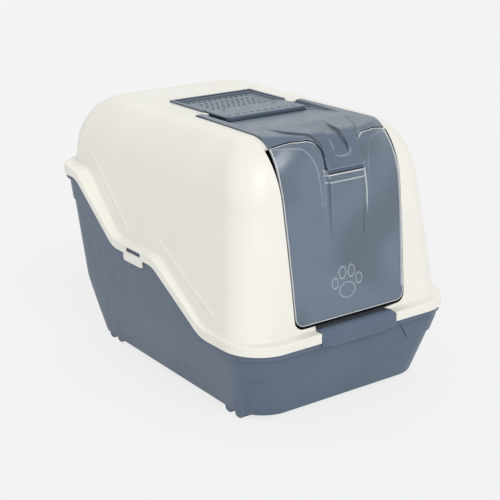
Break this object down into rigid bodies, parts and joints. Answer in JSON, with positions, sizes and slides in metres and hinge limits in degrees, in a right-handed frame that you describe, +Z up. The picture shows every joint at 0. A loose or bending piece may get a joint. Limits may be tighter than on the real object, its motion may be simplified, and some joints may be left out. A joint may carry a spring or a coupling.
{
  "type": "hooded cat litter box",
  "caption": "Hooded litter box: deep tray, removable hood with a see-through swing flap, lifting visor, roof vent with carbon filter, and a front latch.",
  "frame": {"origin": "middle of the footprint, on the floor under the feet", "axes": "+X across the width to the right as seen from behind the entrance looking along +Y, -Y towards the entrance, +Z up"},
  "size_m": [0.39, 0.54, 0.3963],
  "materials": {
    "tray_plastic": "fine satin, moulded",
    "hood_plastic": "fine satin, moulded",
    "visor_plastic": "fine satin, moulded",
    "flap_plastic": "clear smoky moulded polycarbonate",
    "filter_felt": "needled carbon felt"
  },
  "bodies": {
    "base": {"base_tray": "tray_plastic"},
    "hood": {"hood": "hood_plastic", "vent_housing": "visor_plastic", "carbon_filter": "filter_felt"},
    "visor": {"visor": "visor_plastic"},
    "flap": {"swing_flap": "flap_plastic"},
    "vent_lid": {"vent_lid": "visor_plastic"},
    "latch": {"front_latch": "tray_plastic"}
  },
  "joints": [
    {"name": "hood_lift", "type": "slide", "parent": "base", "child": "hood", "axis": [0, 0, 1], "range_m": [0, 0.15]},
    {"name": "visor_hinge", "type": "hinge", "parent": "hood", "child": "visor", "pos_m": [0, -0.033, 0.387], "axis": [-1, 0, 0], "range_deg": [0, 95]},
    {"name": "flap_swing", "type": "hinge", "parent": "visor", "child": "flap", "pos_m": [0, -0.2265, 0.344], "axis": [1, 0, 0], "range_deg": [-60, 60]},
    {"name": "vent_lid_hinge", "type": "hinge", "parent": "hood", "child": "vent_lid", "pos_m": [0, 0.09, 0.3922], "axis": [-1, 0, 0], "range_deg": [0, 88]},
    {"name": "latch_hinge", "type": "hinge", "parent": "hood", "child": "latch", "pos_m": [0, -0.2565, 0.1266], "axis": [-1, 0, 0], "range_deg": [0, 75]}
  ]
}
